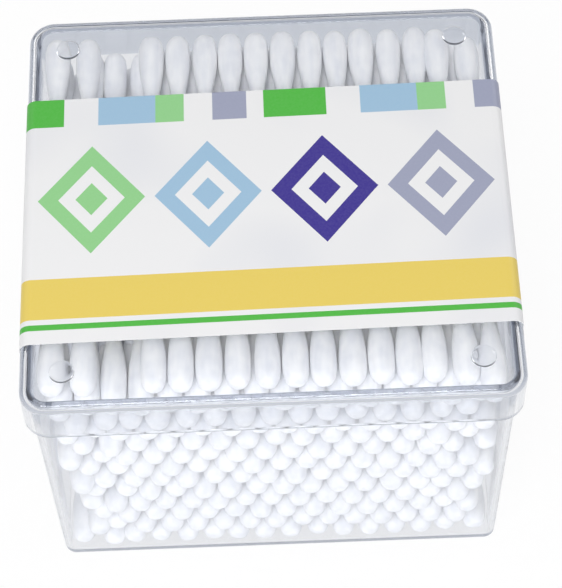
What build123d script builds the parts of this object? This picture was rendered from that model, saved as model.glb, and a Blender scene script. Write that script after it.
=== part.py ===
from build123d import *
import math
import os

# A clear moulded box of cotton swabs: a tapered tub, a lid whose skirt slips over the tub's rim,
# a paper label stuck across the lid, and swabs stacked lengthwise in rows like pipes.
# The box takes its size from the stack of swabs that it holds. Lengths are in millimetres.
# Origin under the middle of the tub's base, +Z up, X across a row, Y along the swabs, front at -Y.

# One swab: a paper stick with a cotton bud on each end
swab_length = 73.5
bud_length = 13.5
bud_widest_from_tip = 4.6
bud_across = 4.5
stick_diameter = 2.4

# The stack: every other row lies in the hollows of the row below, each row slips a little further
# to -X, and the top row has an empty place after the swabs at its left end
row_count = 13
widest_row_count = 16
bud_gap = 0.22
first_row_slip = 0.2
row_slip = 0.26
rest_gap = 0.1
swab_to_wall_gap = 0.15
tip_to_wall_gap = 0.3
top_row_left_count = 2

# The tub
tub_wall = 1.0
tub_floor = 1.0
tub_draft = 1.15
tub_base_bevel = 1.0
side_room = 0.58
end_room = 0.5
head_room = 0.5

# The lid
lid_plate = 1.0
skirt_wall = 1.0
skirt_height = 9.3
lid_clearance = 0.25
lid_corner_radius = 4.5
lid_edge_round = 1.7
stud_diameter = 4.2
stud_height = 0.7
stud_inset = 7.1

# The label: a paper band over the lid, bent down both sides and ending above the skirt's hem
label_paper = 0.12
label_glue = 0.04
label_width = 50.4
label_offset = -2.4
label_hem = 1.6
label_skew_deg = 0.8
overrun = 5.0

# Two hundred swabs are kept to few faces: the bud is six-sided, with flats towards its six neighbours,
# and the stick is three-sided, with as much paper as the round one
bud_corner_radius = bud_across / math.sqrt(3)
stick_corner_radius = stick_diameter * math.sqrt(math.pi / (3 * math.sqrt(3)))
row_pitch = bud_across + bud_gap
row_rise = row_pitch * math.sqrt(3) / 2

# Sizes of the box worked out from the stack
inner_width = (widest_row_count - 1) * row_pitch + bud_across + 2 * side_room
inner_depth = swab_length + 2 * end_room
stack_height = 2 * bud_corner_radius + (row_count - 1) * row_rise
rim_height = tub_floor + rest_gap + stack_height + head_room
rim_width = inner_width + 2 * (tub_wall + tub_draft)
rim_depth = inner_depth + 2 * (tub_wall + tub_draft)
draft_deg = math.degrees(math.atan2(tub_draft, rim_height))
lid_width = rim_width + 2 * (lid_clearance + skirt_wall)
lid_depth = rim_depth + 2 * (lid_clearance + skirt_wall)
lid_top = rim_height + lid_plate
skirt_bottom = lid_top - skirt_height
rim_corner_radius = lid_corner_radius - skirt_wall - lid_clearance

# Centred in plan and standing on its foot
standing = (Align.CENTER, Align.CENTER, Align.MIN)


def widening(height):
    """How far a tub wall has leaned out at a height above the base."""
    return tub_draft * height / rim_height


def row_height(row):
    """Height of a row's axis; row 0 lies on the floor."""
    return tub_floor + rest_gap + bud_corner_radius + row * row_rise


def row_places(row):
    """X of each swab in a row: as many as fit between the leaning side walls."""
    slip = -(first_row_slip + row * row_slip)
    start = slip if row % 2 else slip + row_pitch / 2
    room = inner_width / 2 + widening(row_height(row)) - bud_across / 2 - swab_to_wall_gap
    steps = range(-widest_row_count, widest_row_count + 1)
    places = [start + step * row_pitch for step in steps if abs(start + step * row_pitch) <= room]
    if row == row_count - 1:
        places.pop(top_row_left_count)
    return places


def row_middle(row):
    """Y of a row's middle: the lowest row stands to the front wall, the highest to the back wall."""
    room = inner_depth / 2 + widening(row_height(row)) - swab_length / 2 - tip_to_wall_gap
    return room * (2 * row / (row_count - 1) - 1)


def ring(sides, radius, y):
    """Corners of an upright ring around the Y axis, one corner at its top."""
    turns = [math.radians(90 + 360 * corner / sides) for corner in range(sides)]
    return [(radius * math.cos(turn), y, radius * math.sin(turn)) for turn in turns]


def make_bud():
    """A cotton bud with its tip at -Y: a point, six sides at its widest, drawn in to the stick."""
    tip_y = -swab_length / 2
    widest = ring(6, bud_corner_radius, tip_y + bud_widest_from_tip)
    neck = ring(3, stick_corner_radius, tip_y + bud_length)
    return ConvexPolyhedron([(0, tip_y, 0)] + widest + neck)


def make_stick():
    """The bare length of paper stick between the two buds."""
    half = swab_length / 2 - bud_length
    return ConvexPolyhedron(ring(3, stick_corner_radius, -half) + ring(3, stick_corner_radius, half))


def make_rows():
    """The stack, row by row: one group of sticks and one group of buds for each row."""
    near_bud = make_bud()
    far_bud = mirror(near_bud, Plane.XZ)
    stick = make_stick()
    nodes = {}
    for row in range(row_count):
        seats = [Pos(x, row_middle(row), row_height(row)) for x in row_places(row)]
        name = f"row_{row + 1:02d}"
        nodes["paper_sticks_" + name] = Compound([seat * stick for seat in seats])
        nodes["cotton_buds_" + name] = Compound([seat * bud for seat in seats for bud in (near_bud, far_bud)])
    return nodes


def drafted_block(width, depth, foot, corner_radius):
    """A block from a foot up to the rim, its sides drawn in towards the foot, its corners rounded."""
    block = Pos(0, 0, foot) * Box(width, depth, rim_height - foot, align=standing)
    sides = block.faces().filter_by(Axis.Z, reverse=True)
    block = draft(sides, Plane.XY.offset(rim_height), -draft_deg)
    return fillet(block.edges().group_by(Axis.Z)[1], corner_radius)


def make_tub():
    """The open tub: drafted walls of even thickness on a flat floor, bevelled where it stands."""
    outside = drafted_block(rim_width, rim_depth, 0, rim_corner_radius)
    outside = chamfer(outside.edges().group_by(Axis.Z)[0], tub_base_bevel)
    inside = drafted_block(
        rim_width - 2 * tub_wall, rim_depth - 2 * tub_wall, tub_floor, rim_corner_radius - tub_wall
    )
    return outside - inside


def lid_block(grow):
    """The lid's outer form as a solid block, grown by a small distance."""
    hem = RectangleRounded(lid_width + 2 * grow, lid_depth + 2 * grow, lid_corner_radius + grow)
    block = extrude(Pos(0, 0, skirt_bottom) * hem, amount=skirt_height + grow)
    return fillet(block.edges().group_by(Axis.Z)[-1], lid_edge_round + grow)


def make_stud():
    """A low domed stud: the cap of a ball, sunk half way into the lid's plate."""
    ball_radius = ((stud_diameter / 2) ** 2 + stud_height ** 2) / (2 * stud_height)
    foot_height = ball_radius - stud_height - lid_plate / 2
    foot_deg = math.degrees(math.asin(foot_height / ball_radius))
    cap = Sphere(ball_radius, arc_size1=foot_deg, arc_size2=90, align=standing)
    return Pos(0, 0, -lid_plate / 2) * cap


def make_lid():
    """The lid: a top plate that rests on the rim, a skirt around the rim, and four corner studs."""
    hollow = RectangleRounded(
        lid_width - 2 * skirt_wall, lid_depth - 2 * skirt_wall, lid_corner_radius - skirt_wall
    )
    lid = lid_block(0) - extrude(Pos(0, 0, skirt_bottom) * hollow, amount=skirt_height - lid_plate)
    stud = make_stud()
    across = lid_width / 2 - stud_inset
    along = lid_depth / 2 - stud_inset
    for x in (-across, across):
        for y in (-along, along):
            lid += Pos(x, y, lid_top) * stud
    return lid


def make_label():
    """The paper band: a thin skin over the lid, cut to a strip that sits slightly askew."""
    skin = lid_block(label_glue + label_paper) - lid_block(label_glue)
    hem_height = skirt_bottom + label_hem
    band = Box(lid_width + 2 * overrun, label_width, lid_top + overrun - hem_height, align=standing)
    return skin & (Pos(0, label_offset, hem_height) * Rot(0, 0, label_skew_deg) * band)


nodes = {"tub": make_tub(), "lid": make_lid(), "label": make_label()}
nodes.update(make_rows())
os.makedirs("parts", exist_ok=True)
for name, shape in nodes.items():
    export_step(shape, f"parts/{name}.step")
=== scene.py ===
"""Looks of a clear moulded box of cotton swabs: tub, lid, label band and thirteen rows of swabs."""

import logging
import math
import random
from dataclasses import dataclass, field
from enum import Enum
from typing import Any, ClassVar, Iterable, Optional, Union

import bmesh
import bpy
from mathutils import Matrix, Vector


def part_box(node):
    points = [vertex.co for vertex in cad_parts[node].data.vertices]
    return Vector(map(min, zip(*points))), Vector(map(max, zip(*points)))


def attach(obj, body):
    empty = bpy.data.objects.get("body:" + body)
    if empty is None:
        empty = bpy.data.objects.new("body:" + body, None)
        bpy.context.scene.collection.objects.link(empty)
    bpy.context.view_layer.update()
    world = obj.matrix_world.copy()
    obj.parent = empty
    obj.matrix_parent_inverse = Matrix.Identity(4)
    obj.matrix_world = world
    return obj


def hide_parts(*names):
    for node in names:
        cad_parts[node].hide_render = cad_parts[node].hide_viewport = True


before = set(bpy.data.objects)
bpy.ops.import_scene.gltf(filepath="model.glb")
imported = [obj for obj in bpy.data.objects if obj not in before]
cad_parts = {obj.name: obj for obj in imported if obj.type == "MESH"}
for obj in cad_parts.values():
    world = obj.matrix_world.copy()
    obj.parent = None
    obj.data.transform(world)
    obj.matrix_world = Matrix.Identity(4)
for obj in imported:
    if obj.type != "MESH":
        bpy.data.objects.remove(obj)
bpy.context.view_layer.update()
LOG = logging.getLogger("swab_pack")

NOISE_MEAN = 0.5  # the middle value of a noise texture
FACING = 0.5  # a face looks along an axis where its normal has more than this share of it

Pair = tuple[float, float]
Triple = tuple[float, float, float]
Colour = Triple
Verts = list[bmesh.types.BMVert]
Edges = list[bmesh.types.BMEdge]
Value = Union["Expr", float, int, tuple]


class Expr:
    """A shader socket that takes part in Python sums: each operator adds one Math node."""

    def __init__(self, tree: "Tree", socket: bpy.types.NodeSocket) -> None:
        """Wraps one output socket of a tree."""
        self.tree = tree
        self.socket = socket

    def math(self, operation: str, *others: Value) -> "Expr":
        """Adds a Math node.

        Args:
            operation: The Math node's operation.
            others: The operands after this one.

        Returns:
            The node's result.
        """
        sockets = dict(enumerate((self, *others)))
        return self.tree.node("ShaderNodeMath", {"operation": operation}, sockets)

    def reflected(self, operation: str, other: Value) -> "Expr":
        """Adds a Math node with this socket as the second operand."""
        return self.tree.node("ShaderNodeMath", {"operation": operation}, {0: other, 1: self})

    def __add__(self, other: Value) -> "Expr":
        """Sum."""
        return self.math("ADD", other)

    __radd__ = __add__

    def __sub__(self, other: Value) -> "Expr":
        """Difference."""
        return self.math("SUBTRACT", other)

    def __rsub__(self, other: Value) -> "Expr":
        """Difference from a value."""
        return self.reflected("SUBTRACT", other)

    def __mul__(self, other: Value) -> "Expr":
        """Product."""
        return self.math("MULTIPLY", other)

    __rmul__ = __mul__

    def __truediv__(self, other: Value) -> "Expr":
        """Quotient."""
        return self.math("DIVIDE", other)

    def __mod__(self, other: Value) -> "Expr":
        """Remainder, always from zero up."""
        return self.math("FLOORED_MODULO", other)

    def __abs__(self) -> "Expr":
        """Size without sign."""
        return self.math("ABSOLUTE")

    def __lt__(self, other: Value) -> "Expr":
        """One where this is less, otherwise zero."""
        return self.math("LESS_THAN", other)

    def __gt__(self, other: Value) -> "Expr":
        """One where this is greater, otherwise zero."""
        return self.math("GREATER_THAN", other)

    def larger(self, other: Value) -> "Expr":
        """The larger of two values."""
        return self.math("MAXIMUM", other)

    def between(self, low: float, high: float) -> "Expr":
        """One inside a range, otherwise zero."""
        return (self > low) * (self < high)


class Tree:
    """A material's or the world's nodes, made one by one."""

    def __init__(self, owner: Union[bpy.types.Material, bpy.types.World]) -> None:
        """Empties the owner's node tree and keeps it.

        Args:
            owner: The material or world.
        """
        owner.use_nodes = True
        self.nodes = owner.node_tree.nodes
        self.links = owner.node_tree.links
        self.nodes.clear()

    def node(
        self,
        kind: str,
        settings: Optional[dict[str, Any]] = None,
        sockets: Optional[dict[Union[str, int], Value]] = None,
        output: Union[str, int] = 0,
    ) -> Expr:
        """Makes any node.

        Args:
            kind: The node's type.
            settings: Its attributes, set first.
            sockets: Values or links of its inputs, by name or number.
            output: The output to give back.

        Returns:
            That output.
        """
        made = self.nodes.new(kind)
        for name, value in (settings or {}).items():
            setattr(made, name, value)
        for key, value in (sockets or {}).items():
            if isinstance(value, Expr):
                self.links.new(value.socket, made.inputs[key])
            else:
                made.inputs[key].default_value = value
        return Expr(self, made.outputs[output])

    def output(
        self, surface: Expr, volume: Optional[Expr] = None, kind: str = "ShaderNodeOutputMaterial"
    ) -> None:
        """Links the shaders to the tree's output node.

        Args:
            surface: The surface shader.
            volume: The volume shader, where there is one.
            kind: The output node's type.
        """
        made = self.nodes.new(kind)
        self.links.new(surface.socket, made.inputs["Surface"])
        if volume is not None:
            self.links.new(volume.socket, made.inputs["Volume"])

    def mix(self, factor: Value, first: Value, second: Value) -> Expr:
        """Mixes two colours, a Mix node's sockets 6 and 7; factor 1 gives the second."""
        sockets = {0: factor, 6: rgba(first), 7: rgba(second)}
        return self.node("ShaderNodeMix", {"data_type": "RGBA"}, sockets, 2)

    def blend(self, factor: Expr, first: Expr, second: Expr) -> Expr:
        """Mixes two shaders; factor 1 gives the second."""
        return self.node("ShaderNodeMixShader", {}, {0: factor, 1: first, 2: second})

    def clear(self, tint: Colour) -> Expr:
        """A shader that lets rays straight through and tints them."""
        return self.node("ShaderNodeBsdfTransparent", {}, {"Color": rgba(tint)})

    def ray(self, fact: str) -> Expr:
        """One of the facts that Light Path knows of a ray."""
        return self.node("ShaderNodeLightPath", output=fact)

    def part(self, point: Expr, axis: str) -> Expr:
        """One coordinate of a point."""
        return self.node("ShaderNodeSeparateXYZ", {}, {0: point}, axis)

    def object_point(self, scale: Triple = (1.0, 1.0, 1.0)) -> Expr:
        """The surface point in the piece's own frame, stretched by a scale."""
        point = self.node("ShaderNodeTexCoord", output="Object")
        return self.node("ShaderNodeMapping", {}, {"Vector": point, "Scale": scale})

    def noise(self, point: Expr, scale: float, detail: float = 2.0, rough: float = 0.5) -> Expr:
        """A noise value over a point."""
        sockets = {"Vector": point, "Scale": scale, "Detail": detail, "Roughness": rough}
        return self.node("ShaderNodeTexNoise", {}, sockets, "Fac")

    def bump(self, height: Expr, strength: float, distance: float) -> Expr:
        """A normal bent by a height."""
        sockets = {"Height": height, "Strength": strength, "Distance": distance}
        return self.node("ShaderNodeBump", {}, sockets)


def rgba(colour: Value) -> Value:
    """A colour with its alpha, or a socket as it is."""
    return (*colour, 1.0) if isinstance(colour, tuple) else colour


@dataclass(frozen=True)
class Finish:
    """A named finish that makes its own material."""

    name: str

    def material(self) -> bpy.types.Material:
        """Makes the material.

        Returns:
            The material.
        """
        made = bpy.data.materials.new(self.name)
        self.shade(Tree(made))
        return made

    def shade(self, tree: Tree) -> None:
        """Adds the finish's nodes to an empty tree."""
        raise NotImplementedError


@dataclass(frozen=True)
class ClearPlastic(Finish):
    """Clear glossy moulded plastic that lamps shine through, with faint flow ripples and scuffs.

    Light bent more than most_bends times is caught in the walls: it goes straight on and fades.
    """

    tint: Colour = (0.99, 0.99, 0.993)
    lamp_tint: Colour = (0.992, 0.993, 0.995)
    ior: float = 1.5
    smoothness: float = 0.012
    scuff: float = 0.03
    scuff_from: float = 0.6
    scuff_scale: float = 260.0
    ripple_scale: float = 55.0
    ripple_strength: float = 0.0015
    ripple_height: float = 0.0004
    depth_colour: Colour = (0.48, 0.52, 0.60)
    depth_density: float = 146.0
    most_bends: float = 3.5
    caught_tint: Colour = (0.88, 0.895, 0.92)

    def shade(self, tree: Tree) -> None:
        """Adds the finish's nodes.

        Args:
            tree: The material's nodes, empty at first.
        """
        point = tree.object_point()
        ripple = tree.noise(point, self.ripple_scale, detail=1.0)
        scuff = tree.noise(point, self.scuff_scale, detail=4.0, rough=0.7)
        rough = self.smoothness + self.scuff * (scuff - self.scuff_from).larger(0.0)
        plastic = tree.node("ShaderNodeBsdfPrincipled", {}, {
            "Base Color": rgba(self.tint),
            "Roughness": rough,
            "IOR": self.ior,
            "Transmission Weight": 1.0,
            "Normal": tree.bump(ripple, self.ripple_strength, self.ripple_height),
        })
        lamp_or_soft_ray = tree.ray("Is Shadow Ray").larger(tree.ray("Is Diffuse Ray"))
        caught_ray = tree.ray("Ray Depth") > self.most_bends
        seen = tree.blend(caught_ray, plastic, tree.clear(self.caught_tint))
        surface = tree.blend(lamp_or_soft_ray, seen, tree.clear(self.lamp_tint))
        inside = {"Color": rgba(self.depth_colour), "Density": self.depth_density}
        tree.output(surface, tree.node("ShaderNodeVolumeAbsorption", {}, inside))


@dataclass(frozen=True)
class SpunCotton(Finish):
    """Soft matt white cotton wound on by machine, fine fibres running round the bud, and painted
    lengthwise streaks of light and shade.
    """

    name: str = "spun_cotton"
    # light and dark serve both the random mottling and the painted streaks of light and shade
    light: Colour = (0.985, 0.987, 0.992)
    dark: Colour = (0.805, 0.82, 0.865)
    patch_scale: float = 420.0
    # stretch of the lengthwise streaks of painted light and shade in the colour
    painted_streak_stretch: Triple = (650.0, 110.0, 650.0)
    painted_streak_share: float = 0.6
    contrast: float = 2.8
    fibre_stretch: Triple = (500.0, 1900.0, 500.0)
    lump_scale: float = 900.0
    lump_share: float = 0.7
    bump_strength: float = 0.6
    bump_height: float = 0.0002
    roughness: float = 0.92
    sheen: float = 0.25
    sheen_roughness: float = 0.45
    glow_depth: float = 0.0012
    glow_share: float = 0.25

    def shade(self, tree: Tree) -> None:
        """Adds the finish's nodes.

        Args:
            tree: The material's nodes, empty at first.
        """
        patch = tree.noise(tree.object_point(), self.patch_scale, detail=3.0)
        # painted light and shade: lengthwise streaks between the light and dark colours, mixed below
        # with random mottling
        painted_streak = tree.noise(tree.object_point(self.painted_streak_stretch), scale=1.0)
        mottle_and_painted_streaks = painted_streak * self.painted_streak_share + patch * (1 - self.painted_streak_share)
        tone = (mottle_and_painted_streaks - NOISE_MEAN) * self.contrast + NOISE_MEAN
        fibre = tree.noise(tree.object_point(self.fibre_stretch), scale=1.0, detail=3.0, rough=0.6)
        lump = tree.noise(tree.object_point(), self.lump_scale)
        height = fibre * (1 - self.lump_share) + lump * self.lump_share
        cotton = tree.node("ShaderNodeBsdfPrincipled", {}, {
            "Base Color": tree.mix(tone, self.light, self.dark),
            "Roughness": self.roughness,
            "Sheen Weight": self.sheen,
            "Sheen Roughness": self.sheen_roughness,
            "Subsurface Weight": self.glow_share,
            "Subsurface Radius": (1.0, 1.0, 1.0),
            "Subsurface Scale": self.glow_depth,
            "Normal": tree.bump(height, self.bump_strength, self.bump_height),
        })
        tree.output(cotton)


@dataclass(frozen=True)
class RolledPaper(Finish):
    """Tightly rolled white paper with fine lines along the stick."""

    name: str = "rolled_paper"
    light: Colour = (0.93, 0.945, 0.985)
    dark: Colour = (0.86, 0.885, 0.955)
    line_stretch: Triple = (2600.0, 70.0, 2600.0)
    mottle_scale: float = 350.0
    roughness: float = 0.55
    bump_strength: float = 0.25
    bump_height: float = 0.00006

    def shade(self, tree: Tree) -> None:
        """Adds the finish's nodes.

        Args:
            tree: The material's nodes, empty at first.
        """
        line = tree.noise(tree.object_point(self.line_stretch), scale=1.0)
        mottle = tree.noise(tree.object_point(), self.mottle_scale, detail=3.0)
        paper = tree.node("ShaderNodeBsdfPrincipled", {}, {
            "Base Color": tree.mix(mottle, self.light, self.dark),
            "Roughness": self.roughness,
            "Normal": tree.bump(line, self.bump_strength, self.bump_height),
        })
        tree.output(paper)


@dataclass(frozen=True)
class Block:
    """One coloured block of the printed strip: its start and end along the strip, and its colour."""

    start: float
    end: float
    colour: Colour


@dataclass(frozen=True)
class PrintedPaper(Finish):
    """The label's paper: an off-white ground with plain stripes, blocks and a row of lozenges."""

    name: str = "printed_paper"
    ground: Colour = (0.76, 0.76, 0.768)
    cloud: Colour = (0.62, 0.635, 0.69)
    yellow: Colour = (0.71, 0.54, 0.092)
    green: Colour = (0.048, 0.405, 0.026)
    pale_green: Colour = (0.24, 0.55, 0.22)
    blue: Colour = (0.29, 0.46, 0.62)
    lavender: Colour = (0.29, 0.31, 0.425)
    navy: Colour = (0.014, 0.0, 0.22)
    cloud_scale: float = 38.0
    cloud_contrast: float = 2.0
    speckle_scale: float = 2600.0
    speckle_share: float = 0.06
    yellow_band: Pair = (-0.0205, -0.0125)
    green_line: Pair = (-0.0226, -0.0215)
    block_strip: Pair = (0.0192, 0.0300)
    strip_period: float = 0.046
    lozenge_row: float = 0.0035
    lozenge_pitch: float = 0.020
    lozenge_half_width: float = 0.0092
    lozenge_half_height: float = 0.0112
    inner_share: float = 0.62
    core_share: float = 0.3
    roughness: float = 0.38
    roughness_spread: float = 0.15
    fibre_scale: float = 900.0
    lamp_tint: Colour = (0.64, 0.64, 0.64)
    bump_strength: float = 0.08
    bump_height: float = 0.00005

    def blocks(self) -> list[Block]:
        """Lists the strip's coloured blocks.

        Returns:
            The blocks within one period.
        """
        return [
            Block(0.000, 0.011, self.green),
            Block(0.017, 0.027, self.blue),
            Block(0.027, 0.032, self.pale_green),
            Block(0.037, 0.043, self.lavender),
        ]

    def lozenge_colours(self) -> list[Colour]:
        """The lozenges' colours, from left to right."""
        return [self.pale_green, self.blue, self.navy, self.lavender]

    def printed_colour(self, tree: Tree) -> Expr:
        """Lays the print's fields of colour over the ground.

        Args:
            tree: The material's nodes.

        Returns:
            The colour.
        """
        place = tree.node("ShaderNodeUVMap", {"uv_map": Label.UV_NAME})
        along = tree.part(place, "X")
        across = tree.part(place, "Y")
        cloud = tree.noise(place, self.cloud_scale, detail=1.0)
        clouded = (cloud - NOISE_MEAN).larger(0.0) * self.cloud_contrast
        colour = tree.mix(clouded, self.ground, self.cloud)
        colour = tree.mix(across.between(*self.yellow_band), colour, self.yellow)
        colour = tree.mix(across.between(*self.green_line), colour, self.green)
        strip = across.between(*self.block_strip)
        run = along % self.strip_period
        for block in self.blocks():
            colour = tree.mix(strip * run.between(block.start, block.end), colour, block.colour)
        first = -(len(self.lozenge_colours()) - 1) / 2
        for number, paint in enumerate(self.lozenge_colours()):
            middle = (first + number) * self.lozenge_pitch
            reach = abs(along - middle) / self.lozenge_half_width
            reach = reach + abs(across - self.lozenge_row) / self.lozenge_half_height
            colour = tree.mix(reach < 1.0, colour, paint)
            colour = tree.mix(reach.between(self.core_share, self.inner_share), colour, self.ground)
        return colour

    def shade(self, tree: Tree) -> None:
        """Adds the finish's nodes.

        Args:
            tree: The material's nodes, empty at first.
        """
        speckle = tree.noise(tree.object_point(), self.speckle_scale)
        colour = self.printed_colour(tree)
        fibre = tree.noise(tree.object_point(), self.fibre_scale, detail=4.0, rough=0.65)
        paper = tree.node("ShaderNodeBsdfPrincipled", {}, {
            "Base Color": tree.mix(speckle * self.speckle_share, colour, self.ground),
            "Roughness": self.roughness + self.roughness_spread * fibre,
            "Normal": tree.bump(fibre, self.bump_strength, self.bump_height),
        })
        tree.output(tree.blend(tree.ray("Is Shadow Ray"), paper, tree.clear(self.lamp_tint)))


@dataclass(frozen=True)
class StudioWhite(Finish):
    """A floor that looks white to the camera and in the plastic, and keeps a soft shadow."""

    name: str = "studio_white"
    colour: Colour = (0.90, 0.90, 0.905)
    glow_share: float = 0.92

    def shade(self, tree: Tree) -> None:
        """Adds the finish's nodes.

        Args:
            tree: The material's nodes, empty at first.
        """
        matt = tree.node("ShaderNodeBsdfDiffuse", {}, {"Color": rgba(self.colour)})
        glow = tree.node("ShaderNodeEmission", {}, {"Strength": 1.0})
        tree.output(tree.blend(seen_rays(tree) * self.glow_share, matt, glow))


@dataclass(frozen=True)
class StudioDark(Finish):
    """The band that draws the plastic's edges: dark behind the pack, white in front of it."""

    name: str = "studio_dark"
    colour: Colour = (0.11, 0.115, 0.135)
    front_colour: Colour = (1.0, 1.0, 1.0)
    fade: Pair = (-0.42, -0.02)

    def shade(self, tree: Tree) -> None:
        """Adds the finish's nodes.

        Args:
            tree: The material's nodes, empty at first.
        """
        front, back = self.fade
        sockets = {"Value": tree.part(tree.object_point(), "Y"), "From Min": front, "From Max": back}
        dark = tree.node("ShaderNodeMapRange", {}, sockets)
        colour = tree.mix(dark, self.front_colour, self.colour)
        tree.output(tree.node("ShaderNodeEmission", {}, {"Color": colour}))


def seen_rays(tree: Tree) -> Expr:
    """One for rays that show a thing to the camera, straight, mirrored or through the plastic.

    Args:
        tree: The nodes to add to.

    Returns:
        The mask.
    """
    camera = tree.ray("Is Camera Ray")
    glossy = tree.ray("Is Glossy Ray")
    through = tree.ray("Is Transmission Ray")
    return camera.larger(glossy).larger(through)


class Side(Enum):
    """The side on which a moulded skin is open."""

    TOP = 1
    BOTTOM = -1


@dataclass
class Skin:
    """One face of a moulded wall: a drafted block with rounded corners, open on one side."""

    low: Vector
    high: Vector
    corner: float
    edge: float
    opens: Side
    draft: float = 0.0
    corner_steps: int = 9
    edge_steps: int = 5

    def build(self, bm: bmesh.types.BMesh) -> Edges:
        """Adds the skin to a mesh.

        Args:
            bm: The mesh.

        Returns:
            The edges of its open loop.
        """
        known = set(bm.verts)
        size = self.high - self.low
        place = Matrix.Translation((self.low + self.high) / 2) @ Matrix.Diagonal((*size, 1.0))
        block = bmesh.ops.create_cube(bm, size=1.0, matrix=place)["verts"]
        upright = [e for e in bm.edges if e.verts[0] in block and self.is_upright(e)]
        round_edges(bm, upright, self.corner, self.corner_steps)
        self.draw_in_foot([v for v in bm.verts if v not in known], bm)
        fresh = [f for f in bm.faces if not any(v in known for v in f.verts)]
        caps = [f for f in fresh if abs(f.normal.z) > abs(f.normal.x) + abs(f.normal.y)]
        caps.sort(key=lambda f: f.calc_center_median().z * self.opens.value)
        closed, opened = caps
        bmesh.ops.delete(bm, geom=[opened], context="FACES_ONLY")
        round_edges(bm, list(closed.edges), self.edge, self.edge_steps)
        return [e for e in bm.edges if e.is_boundary and e.verts[0] not in known]

    def draw_in_foot(self, verts: Verts, bm: bmesh.types.BMesh) -> None:
        """Draws the low side in by the draft: each rounded corner shrinks about the axis of its arc.

        Args:
            verts: The skin's vertices.
            bm: The mesh.
        """
        middle = (self.low + self.high) / 2
        reach = (self.high - self.low) / 2 - Vector((self.corner, self.corner, 0))
        share = 1 - self.draft / self.corner
        slack = self.corner / self.corner_steps
        feet = [v for v in verts if v.co.z < middle.z]
        for x in (-1, 1):
            for y in (-1, 1):
                axis = middle + Vector((x * reach.x, y * reach.y, 0))
                foot = [v for v in feet if min((v.co.x - axis.x) * x, (v.co.y - axis.y) * y) > -slack]
                space = Matrix.Translation(-axis)
                bmesh.ops.scale(bm, vec=(share, share, 1.0), space=space, verts=foot)

    def is_upright(self, edge: bmesh.types.BMEdge) -> bool:
        """Whether an edge runs from the low side to the high side."""
        return abs(edge.verts[0].co.z - edge.verts[1].co.z) > (self.high.z - self.low.z) / 2


def round_edges(bm: bmesh.types.BMesh, edges: Edges, radius: float, steps: int) -> None:
    """Rounds edges of a mesh.

    Args:
        bm: The mesh.
        edges: The edges.
        radius: The rounding's radius.
        steps: How many faces it has.
    """
    bmesh.ops.bevel(
        bm, geom=edges, offset=radius, offset_type="OFFSET", segments=steps, profile=0.5,
        affect="EDGES", material=-1, clamp_overlap=True,
    )


def add_ring(bm: bmesh.types.BMesh, sides: int, radius: float, middle: Vector) -> Edges:
    """Adds a level ring of edges.

    Args:
        bm: The mesh.
        sides: How many edges the ring has.
        radius: Its radius.
        middle: Its middle.

    Returns:
        The edges.
    """
    place = Matrix.Translation(middle)
    verts = bmesh.ops.create_circle(bm, segments=sides, radius=radius, matrix=place)["verts"]
    return list(dict.fromkeys(e for v in verts for e in v.link_edges))


def extrude_ring(bm: bmesh.types.BMesh, ring: Edges) -> tuple[Verts, Edges]:
    """Extrudes a ring of edges in place.

    Args:
        bm: The mesh.
        ring: The edges.

    Returns:
        The new ring's vertices and edges.
    """
    made = bmesh.ops.extrude_edge_only(bm, edges=ring)["geom"]
    verts = [g for g in made if isinstance(g, bmesh.types.BMVert)]
    edges = [g for g in made if isinstance(g, bmesh.types.BMEdge)]
    return verts, [e for e in edges if all(v in verts for v in e.verts)]


def join_rings(bm: bmesh.types.BMesh, outer: Edges, inner: Edges, wall: float) -> None:
    """Closes the rim between two open loops that lie in one plane.

    The inner loop is lifted while the faces are made, because loops with one middle are joined askew.

    Args:
        bm: The mesh.
        outer: The outer loop's edges.
        inner: The inner loop's edges.
        wall: The distance between them.
    """
    lifted = list(dict.fromkeys(v for e in inner for v in e.verts))
    lift = Vector((0, 0, wall))
    bmesh.ops.translate(bm, vec=lift, verts=lifted)
    bmesh.ops.bridge_loops(bm, edges=outer + inner)
    bmesh.ops.translate(bm, vec=-lift, verts=lifted)
    bmesh.ops.recalc_face_normals(bm, faces=bm.faces)


def store(bm: bmesh.types.BMesh, name: str) -> bpy.types.Mesh:
    """Turns a mesh under construction into a stored one.

    Args:
        bm: The mesh, freed here.
        name: Its name.

    Returns:
        The stored mesh.
    """
    mesh = bpy.data.meshes.new(name)
    bm.to_mesh(mesh)
    bm.free()
    return mesh


def put_in_scene(name: str, data: bpy.types.ID) -> bpy.types.Object:
    """Makes an object of a mesh, a lamp or a camera.

    Args:
        name: The object's name.
        data: What it shows.

    Returns:
        The object.
    """
    made = bpy.data.objects.new(name, data)
    bpy.context.scene.collection.objects.link(made)
    return made


def add_piece(
    name: str,
    bm: bmesh.types.BMesh,
    material: bpy.types.Material,
    body: str,
    nodes: Iterable[str],
) -> bpy.types.Object:
    """Makes a mesh a piece of the object that rides on a body and stands for its nodes.

    Args:
        name: The piece's name.
        bm: Its mesh, freed here.
        material: Its finish.
        body: The body that it moves with.
        nodes: The solids that it stands for.

    Returns:
        The piece.
    """
    mesh = store(bm, name)
    mesh.materials.append(material)
    for polygon in mesh.polygons:
        polygon.use_smooth = True
    piece = put_in_scene(name, mesh)
    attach(piece, body)
    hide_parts(*nodes)
    LOG.info("%s: %d faces", name, len(mesh.polygons))
    return piece


def keep_flats_flat(piece: bpy.types.Object, sharp_angle: float = math.radians(50)) -> None:
    """Shades rounded edges smoothly while the large flat faces stay flat.

    Args:
        piece: The piece.
        sharp_angle: Edges bent by more than this stay sharp.
    """
    piece.data.set_sharp_from_angle(angle=sharp_angle)
    modifier = piece.modifiers.new("flat_faces", "WEIGHTED_NORMAL")
    modifier.keep_sharp = True


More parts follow.
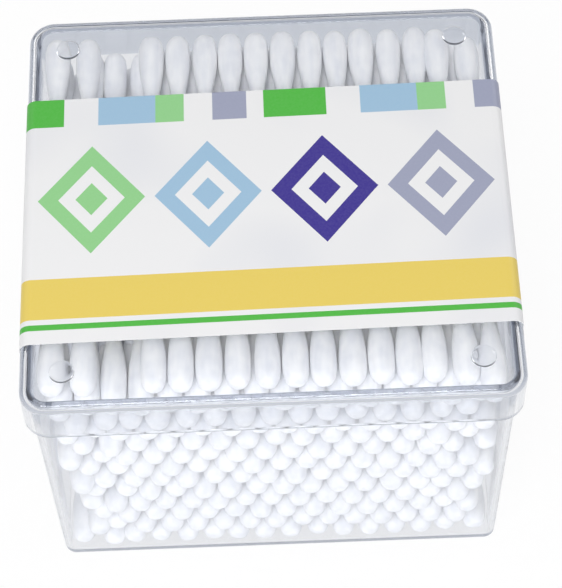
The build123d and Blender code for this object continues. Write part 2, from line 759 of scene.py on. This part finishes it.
@dataclass
class Tub:
    """The clear tub: drafted walls of even thickness, and a rounded rim a hair under the lid."""

    node: str = "tub"
    wall: float = 0.0010
    draft: float = 0.00115
    corner: float = 0.00325
    base_round: float = 0.0011
    floor_round: float = 0.0005
    rim_round: float = 0.00032
    rim_steps: int = 3
    rim_gap: float = 0.00012

    def build(self) -> bmesh.types.BMesh:
        """Models the tub.

        Returns:
            Its mesh.
        """
        low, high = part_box(self.node)
        high = high - Vector((0, 0, self.rim_gap))
        bm = bmesh.new()
        outside = Skin(low, high, self.corner, self.base_round, Side.TOP, self.draft).build(bm)
        inset = Vector((self.wall, self.wall, 0))
        floor = Vector((0, 0, self.wall))
        corner = self.corner - self.wall
        hollow = Skin(low + inset + floor, high - inset, corner, self.floor_round, Side.TOP, self.draft)
        inside = hollow.build(bm)
        join_rings(bm, outside, inside, self.wall)
        round_edges(bm, outside + inside, self.rim_round, self.rim_steps)
        bmesh.ops.recalc_face_normals(bm, faces=bm.faces)
        return bm

    def dress(self) -> None:
        """Makes the tub a piece with its finish."""
        finish = ClearPlastic("clear_tub_plastic", most_bends=4.5)
        piece = add_piece("clear_tub", self.build(), finish.material(), "tub", [self.node])
        keep_flats_flat(piece)


@dataclass
class Lid:
    """The clear lid: plate, rounded edge, skirt and four domed studs in one moulding."""

    node: str = "lid"
    wall: float = 0.0010
    corner: float = 0.0045
    edge_round: float = 0.0017
    inner_round: float = 0.0007
    hem_round: float = 0.00045
    hem_steps: int = 4
    stud_radius: float = 0.0021
    stud_height: float = 0.0007
    stud_inset: float = 0.0071
    stud_sides: int = 44
    stud_shares: tuple[Pair, ...] = ((0.985, 0.40), (0.92, 0.62), (0.70, 0.85), (0.36, 0.97))

    def build(self) -> bmesh.types.BMesh:
        """Models the lid.

        Returns:
            Its mesh.
        """
        low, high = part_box(self.node)
        top = high - Vector((0, 0, self.stud_height))
        bm = bmesh.new()
        outside = Skin(low, top, self.corner, self.edge_round, Side.BOTTOM).build(bm)
        self.add_studs(bm, low, top)
        inset = Vector((self.wall, self.wall, 0))
        plate = Vector((0, 0, self.wall))
        corner = self.corner - self.wall
        hollow = Skin(low + inset, top - inset - plate, corner, self.inner_round, Side.BOTTOM)
        inside = hollow.build(bm)
        join_rings(bm, outside, inside, self.wall)
        round_edges(bm, outside + inside, self.hem_round, self.hem_steps)
        bmesh.ops.recalc_face_normals(bm, faces=bm.faces)
        return bm

    def add_studs(self, bm: bmesh.types.BMesh, low: Vector, top: Vector) -> None:
        """Opens the plate's top face around four circles and raises a dome on each.

        Args:
            bm: The lid's mesh, with its outer skin alone.
            low: The skin's lowest corner.
            top: The skin's highest corner.
        """
        plate = max(bm.faces, key=lambda f: f.calc_center_median().z)
        border = list(plate.edges)
        bmesh.ops.delete(bm, geom=[plate], context="FACES_ONLY")
        rings = []
        for x in (low.x + self.stud_inset, top.x - self.stud_inset):
            for y in (low.y + self.stud_inset, top.y - self.stud_inset):
                middle = Vector((x, y, top.z))
                rings.append((middle, add_ring(bm, self.stud_sides, self.stud_radius, middle)))
        holes = [e for _, ring in rings for e in ring]
        bmesh.ops.triangle_fill(bm, edges=border + holes, use_beauty=True, normal=(0, 0, 1))
        for middle, ring in rings:
            self.raise_dome(bm, middle, ring)

    def raise_dome(self, bm: bmesh.types.BMesh, middle: Vector, ring: Edges) -> None:
        """Extrudes a ring of edges upwards and inwards to a closed dome.

        Args:
            bm: The lid's mesh.
            middle: The ring's middle on the plate.
            ring: Its edges.
        """
        width, height = 1.0, 0.0
        space = Matrix.Translation(-middle)
        for share, lift in self.stud_shares:
            verts, ring = extrude_ring(bm, ring)
            bmesh.ops.scale(bm, vec=(share / width, share / width, 1.0), space=space, verts=verts)
            bmesh.ops.translate(bm, vec=(0, 0, (lift - height) * self.stud_height), verts=verts)
            width, height = share, lift
        crown = bmesh.ops.edgeloop_fill(bm, edges=ring)["faces"]
        poked = bmesh.ops.poke(bm, faces=crown)["verts"]
        bmesh.ops.translate(bm, vec=(0, 0, (1.0 - height) * self.stud_height), verts=poked)

    def dress(self) -> None:
        """Makes the lid a piece with its finish."""
        finish = ClearPlastic("clear_lid_plastic")
        piece = add_piece("clear_lid", self.build(), finish.material(), "lid", [self.node])
        keep_flats_flat(piece)


@dataclass
class Label:
    """The paper band: over the lid from hem to hem, bent round both edges, slightly askew."""

    UV_NAME: ClassVar[str] = "unrolled"
    node: str = "label"
    glue: float = 0.00004
    paper: float = 0.00012
    edge_round: float = 0.0017
    width: float = 0.0504
    offset: float = -0.0024
    skew: float = math.radians(0.8)
    bend_steps: int = 8

    def build(self) -> bmesh.types.BMesh:
        """Models the band from a block: open sides cleared, edges rounded, cut to a skewed strip.

        The block is far deeper than the strip, so that both cuts run through it.

        Returns:
            Its mesh.
        """
        low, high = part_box(self.node)
        half = (high.x - low.x) / 2 - self.paper
        top = high.z - self.paper
        bend = self.edge_round + self.glue
        depth = 2 * (high.y - low.y)
        bm = bmesh.new()
        middle = Vector(((low.x + high.x) / 2, self.offset, (low.z + top) / 2))
        size = (2 * half, depth, top - low.z, 1.0)
        bmesh.ops.create_cube(bm, size=1.0, matrix=Matrix.Translation(middle) @ Matrix.Diagonal(size))
        shed = [f for f in bm.faces if abs(f.normal.y) > FACING or f.normal.z < -FACING]
        bmesh.ops.delete(bm, geom=shed, context="FACES")
        ridge = [e for e in bm.edges if len(e.link_faces) == 2]
        round_edges(bm, ridge, bend, self.bend_steps)
        turn = Matrix.Rotation(self.skew, 3, "Z")
        for side in (-1, 1):
            normal = turn @ Vector((0, side, 0))
            cut = Vector((0, self.offset, 0)) + normal * self.width / 2
            geom = bm.verts[:] + bm.edges[:] + bm.faces[:]
            bmesh.ops.bisect_plane(bm, geom=geom, plane_co=cut, plane_no=normal, clear_outer=True)
        self.unroll(bm, half, top, bend)
        bmesh.ops.recalc_face_normals(bm, faces=bm.faces)
        if sum(f.normal.z * f.calc_area() for f in bm.faces) < 0:
            bmesh.ops.reverse_faces(bm, faces=bm.faces)
        bmesh.ops.solidify(bm, geom=bm.faces[:], thickness=-self.paper)
        bmesh.ops.recalc_face_normals(bm, faces=bm.faces)
        return bm

    def unroll(self, bm: bmesh.types.BMesh, half: float, top: float, bend: float) -> None:
        """Writes each point's place on the flat strip, along and across, as its UV.

        Args:
            bm: The band's mesh.
            half: Half of the band's width between its upright sides.
            top: The band's height on the plate.
            bend: The radius of its bends.
        """
        layer = bm.loops.layers.uv.new(self.UV_NAME)
        back = Matrix.Rotation(-self.skew, 3, "Z")
        flat = half - bend
        for face in bm.faces:
            for loop in face.loops:
                point = loop.vert.co
                past = abs(point.x) - flat
                if past <= 0:
                    run = abs(point.x)
                elif point.z >= top - bend:
                    turn = math.atan2(past, point.z - (top - bend))
                    run = flat + bend * turn
                else:
                    run = flat + bend * math.pi / 2 + (top - bend - point.z)
                across = (back @ (point - Vector((0, self.offset, 0)))).y
                loop[layer].uv = (math.copysign(run, point.x), across)

    def dress(self) -> None:
        """Makes the label a piece with its print."""
        paper = PrintedPaper().material()
        piece = add_piece("label_band", self.build(), paper, "lid", [self.node])
        keep_flats_flat(piece)


@dataclass
class Swab:
    """The form of one swab: a straight stick and the outline of a bud, tip first."""

    length: float = 0.0735
    bud_length: float = 0.0148
    bud_radius: float = 0.00238
    stick_radius: float = 0.00120
    bud_sides: int = 8
    stick_sides: int = 12
    tuck: float = 0.0015
    weld_gap: float = 2.38e-6
    outline_shares: tuple[Pair, ...] = (
        (0.0, 0.0), (0.0, 0.54), (0.04, 0.87), (0.15, 1.04), (0.33, 1.08), (0.53, 1.00), (0.73, 0.76),
        (0.88, 0.59), (1.0, 0.55), (1.0, 0.0),
    )

    def bud(self) -> bpy.types.Mesh:
        """Models a bud whose tip is at the near end of a swab about the origin.

        Returns:
            Its mesh.
        """
        bm = bmesh.new()
        tip = -self.length / 2
        verts = [
            bm.verts.new((width * self.bud_radius, tip + run * self.bud_length, 0))
            for run, width in self.outline_shares
        ]
        edges = [bm.edges.new(pair) for pair in zip(verts, verts[1:])]
        bmesh.ops.spin(
            bm, geom=verts + edges, cent=(0, 0, 0), axis=(0, 1, 0), angle=2 * math.pi,
            steps=self.bud_sides, use_merge=True,
        )
        bmesh.ops.remove_doubles(bm, verts=bm.verts, dist=self.weld_gap)
        bmesh.ops.recalc_face_normals(bm, faces=bm.faces)
        return store(bm, "bud_form")

    def stick(self) -> bpy.types.Mesh:
        """Models the stick about the origin, its ends tucked into the buds.

        Returns:
            Its mesh.
        """
        bm = bmesh.new()
        depth = self.length - 2 * (self.bud_length - self.tuck)
        bmesh.ops.create_cone(
            bm, cap_ends=True, segments=self.stick_sides, radius1=self.stick_radius,
            radius2=self.stick_radius, depth=depth, matrix=Matrix.Rotation(math.pi / 2, 4, "X"),
        )
        return store(bm, "stick_form")


@dataclass
class SwabStack:
    """The rows of swabs, laid where the solids of each row lie, with a hand-packed unevenness."""

    rows: int = 13
    seed: int = 20
    place_digits: int = 6
    swab: Swab = field(default_factory=Swab)
    tub: Tub = field(default_factory=Tub)
    wall_gap: float = 0.00012
    slide: float = 0.00035
    loose_slide: float = 0.0011
    shift: float = 0.00012
    swing: float = math.radians(0.25)
    loose_from: float = 0.027
    loose_shift: float = 0.0006
    loose_swing: float = math.radians(0.9)
    girth: float = 0.035
    lump: float = 0.00009
    top_row_lead: tuple[float, ...] = (-0.0031, -0.0020)
    top_row_slid: float = -0.0024

    def places(self, node: str) -> list[Vector]:
        """Reads the middle of each swab in a row from its three-sided sticks.

        A stick's upper edge lies over its axis, which is a third of its height up.

        Args:
            node: The row's stick node.

        Returns:
            The middles, from left to right.
        """
        low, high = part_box(node)
        rise = (high.z - low.z) / 3
        upper = [v.co.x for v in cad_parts[node].data.vertices if v.co.z > high.z - rise / 2]
        xs = sorted({round(x, self.place_digits) for x in upper})
        return [Vector((x, (low.y + high.y) / 2, low.z + rise)) for x in xs]

    def room(self, height: float) -> Vector:
        """Half of the tub's inside at a height, less a small gap to its walls.

        Args:
            height: The height.

        Returns:
            The half width and half depth.
        """
        low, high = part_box(self.tub.node)
        drawn_in = self.tub.draft * (high.z - height) / (high.z - low.z)
        inset = self.tub.wall + drawn_in + self.wall_gap
        return (high - low) / 2 - Vector((inset, inset, 0))

    def seat(self, place: Vector, chance: random.Random, straight: bool = False) -> Matrix:
        """Where one swab lies, a little off its even place, more so near the side walls.

        Args:
            place: Its even place.
            chance: The row's random draws.
            straight: Whether it lies along the wall, however loose its neighbours are.

        Returns:
            Its transform.
        """
        loose = abs(place.x) > self.loose_from and not straight
        shift = self.loose_shift if loose else self.shift
        slide = self.loose_slide if loose else self.slide
        swing = self.loose_swing if loose else self.swing
        inward = -math.copysign(1.0, place.x) if loose else chance.uniform(-1, 1)
        move = Vector((
            inward * chance.uniform(0, 1) * shift,
            chance.uniform(-1, 1) * slide,
            chance.uniform(-1, 1) * shift / 2,
        ))
        angle = chance.uniform(-1, 1) * swing
        turn = Matrix.Rotation(angle, 4, "Z")
        roll = Matrix.Rotation(chance.uniform(0, 2 * math.pi), 4, "Y")
        spot = place + move
        room = self.room(spot.z)
        side = room.x - self.swab.bud_radius * (1 + self.girth) - abs(angle) * self.swab.length / 2
        end = room.y - self.swab.length / 2 - self.lump
        spot.x = min(max(spot.x, -side), side)
        spot.y = min(max(spot.y, -end), end)
        return Matrix.Translation(spot) @ turn @ roll

    def add_copy(self, bm: bmesh.types.BMesh, form: bpy.types.Mesh, seat: Matrix) -> Verts:
        """Adds one copy of a form to a row's mesh.

        Args:
            bm: The row's mesh.
            form: The form.
            seat: Its transform.

        Returns:
            The copy's vertices.
        """
        known = len(bm.verts)
        bm.from_mesh(form)
        bm.verts.ensure_lookup_table()
        verts = bm.verts[known:]
        bmesh.ops.transform(bm, matrix=seat, verts=verts)
        return verts

    def roughen(self, verts: Verts, chance: random.Random) -> None:
        """Makes a bud's wound cotton slightly lumpy.

        Args:
            verts: The bud's vertices.
            chance: The row's random draws.
        """
        for vert in verts:
            vert.co += Vector([chance.uniform(-1, 1) * self.lump for _ in range(3)])

    def lay_row(self, row: int, bud: bpy.types.Mesh, stick: bpy.types.Mesh) -> list[bmesh.types.BMesh]:
        """Lays the swabs of one row.

        The top row's first ones lie at the wall, and its last one is slid forward.

        Args:
            row: The row's number, from 1 at the bottom.
            bud: A bud's form.
            stick: A stick's form.

        Returns:
            The mesh of its sticks and that of its buds.
        """
        chance = random.Random(self.seed + row)
        sticks, buds = bmesh.new(), bmesh.new()
        ends = (Matrix.Identity(4), Matrix.Rotation(math.pi, 4, "Z"))
        places = self.places(f"paper_sticks_row_{row:02d}")
        for number, place in enumerate(places):
            leads = row == self.rows and number < len(self.top_row_lead)
            if leads:
                place = place + Vector((self.top_row_lead[number], 0, 0))
            elif row == self.rows and number == len(places) - 1:
                place = place + Vector((0, self.top_row_slid, 0))
            seat = self.seat(place, chance, straight=leads)
            self.add_copy(sticks, stick, seat)
            for end in ends:
                girth = 1 + chance.uniform(-1, 1) * self.girth
                swell = Matrix.Diagonal((girth, 1.0, girth, 1.0))
                self.roughen(self.add_copy(buds, bud, seat @ end @ swell), chance)
        return [sticks, buds]

    def dress(self) -> None:
        """Builds every row as two pieces, its sticks and its buds."""
        cotton = SpunCotton().material()
        paper = RolledPaper().material()
        bud, stick = self.swab.bud(), self.swab.stick()
        for row in range(1, self.rows + 1):
            sticks, buds = self.lay_row(row, bud, stick)
            node = f"paper_sticks_row_{row:02d}"
            add_piece(f"stick_row_{row:02d}", sticks, paper, "tub", [node])
            node = f"cotton_buds_row_{row:02d}"
            piece = add_piece(f"bud_row_{row:02d}", buds, cotton, "tub", [node])
            smooth = piece.modifiers.new("soft", "SUBSURF")
            smooth.levels = smooth.render_levels = 1


@dataclass
class Lamp:
    """One soft box: where it hangs, its size and power, and whether gloss mirrors it."""

    name: str
    place: Triple
    size: Pair
    power: float
    mirrored: bool = True
    aim: Triple = (0.0, 0.0, 0.03)

    def hang(self) -> None:
        """Adds the lamp to the scene."""
        light = bpy.data.lights.new(self.name, "AREA")
        light.shape = "RECTANGLE"
        light.size, light.size_y = self.size
        light.energy = self.power
        lamp = put_in_scene(self.name, light)
        lamp.visible_glossy = self.mirrored
        lamp.location = self.place
        way = Vector(self.aim) - Vector(self.place)
        lamp.rotation_euler = way.to_track_quat("-Z", "Y").to_euler()


@dataclass
class Studio:
    """Floor, white surround, soft boxes and the camera."""

    floor_size: float = 6.0
    floor_gap: float = 0.00012
    surround_light: float = 0.53
    band_radius: float = 0.55
    band_span: Pair = (0.05, 0.24)
    band_sides: int = 48
    camera_place: Triple = (0.0012, -0.22945, 0.3821)
    camera_aim: Triple = (0.00185, -0.00271, 0.030)
    camera_roll: float = math.radians(-2.03)
    camera_lens: float = 142.24
    camera_sensor: float = 36.0
    lamps: tuple[Lamp, ...] = (
        Lamp("top_box", (0.05, 0.15, 0.9), (0.9, 0.7), 0.5),
        Lamp("left_strip", (-0.55, 0.60, 0.33), (0.16, 0.34), 0.6),
        Lamp("right_strip", (0.60, 0.55, 0.40), (0.20, 0.40), 1.1),
        Lamp("camera_box", (-0.08, -0.33, 0.56), (0.34, 0.34), 2.5, mirrored=False),
        Lamp("low_box", (-0.05, -0.80, 0.14), (1.00, 0.24), 2.9, mirrored=False),
    )

    def build(self) -> None:
        """Sets up everything around the object."""
        self.lay_floor()
        self.stand_dark_band()
        self.light_surround()
        for lamp in self.lamps:
            lamp.hang()
        self.set_camera()

    def lay_floor(self) -> None:
        """Lays the floor under the object."""
        bm = bmesh.new()
        place = Matrix.Translation((0, 0, -self.floor_gap))
        bmesh.ops.create_grid(bm, x_segments=1, y_segments=1, size=self.floor_size / 2, matrix=place)
        self.add_stage("studio_floor", bm, StudioWhite())

    def stand_dark_band(self) -> None:
        """Stands a dark band around the pack, seen only in the plastic, where it draws the edges."""
        bm = bmesh.new()
        low, high = self.band_span
        foot = add_ring(bm, self.band_sides, self.band_radius, Vector((0, 0, low)))
        upper, _ = extrude_ring(bm, foot)
        bmesh.ops.translate(bm, vec=(0, 0, high - low), verts=upper)
        band = self.add_stage("studio_band", bm, StudioDark())
        band.visible_camera = band.visible_diffuse = band.visible_shadow = False

    def add_stage(self, name: str, bm: bmesh.types.BMesh, finish: Finish) -> bpy.types.Object:
        """Puts a mesh in the scene with its finish, apart from the object's bodies.

        Args:
            name: Its name.
            bm: The mesh, freed here.
            finish: Its finish.

        Returns:
            The stage's object.
        """
        mesh = store(bm, name)
        mesh.materials.append(finish.material())
        made = put_in_scene(name, mesh)
        return made

    def light_surround(self) -> None:
        """Makes the surround white where it is seen, and a plain soft light elsewhere."""
        world = bpy.data.worlds.new("studio_surround")
        bpy.context.scene.world = world
        tree = Tree(world)
        strength = self.surround_light + (1.0 - self.surround_light) * seen_rays(tree)
        glow = tree.node("ShaderNodeBackground", {}, {"Strength": strength})
        tree.output(glow, kind="ShaderNodeOutputWorld")

    def set_camera(self) -> None:
        """Puts the camera where the photograph was taken from."""
        data = bpy.data.cameras.new("camera")
        data.lens = self.camera_lens
        data.sensor_width = self.camera_sensor
        camera = put_in_scene("camera", data)
        way = Vector(self.camera_aim) - Vector(self.camera_place)
        look = way.to_track_quat("-Z", "Y").to_matrix().to_4x4()
        roll = Matrix.Rotation(self.camera_roll, 4, "Z")
        camera.matrix_world = Matrix.Translation(self.camera_place) @ look @ roll
        bpy.context.scene.camera = camera


def main() -> None:
    """Builds the pack, piece by piece, and the studio around it."""
    logging.basicConfig(level=logging.INFO, format="%(message)s")
    bpy.context.scene.view_settings.view_transform = "Standard"
    SwabStack().dress()
    Tub().dress()
    Lid().dress()
    Label().dress()
    Studio().build()


if __name__ == "__main__":
    main()
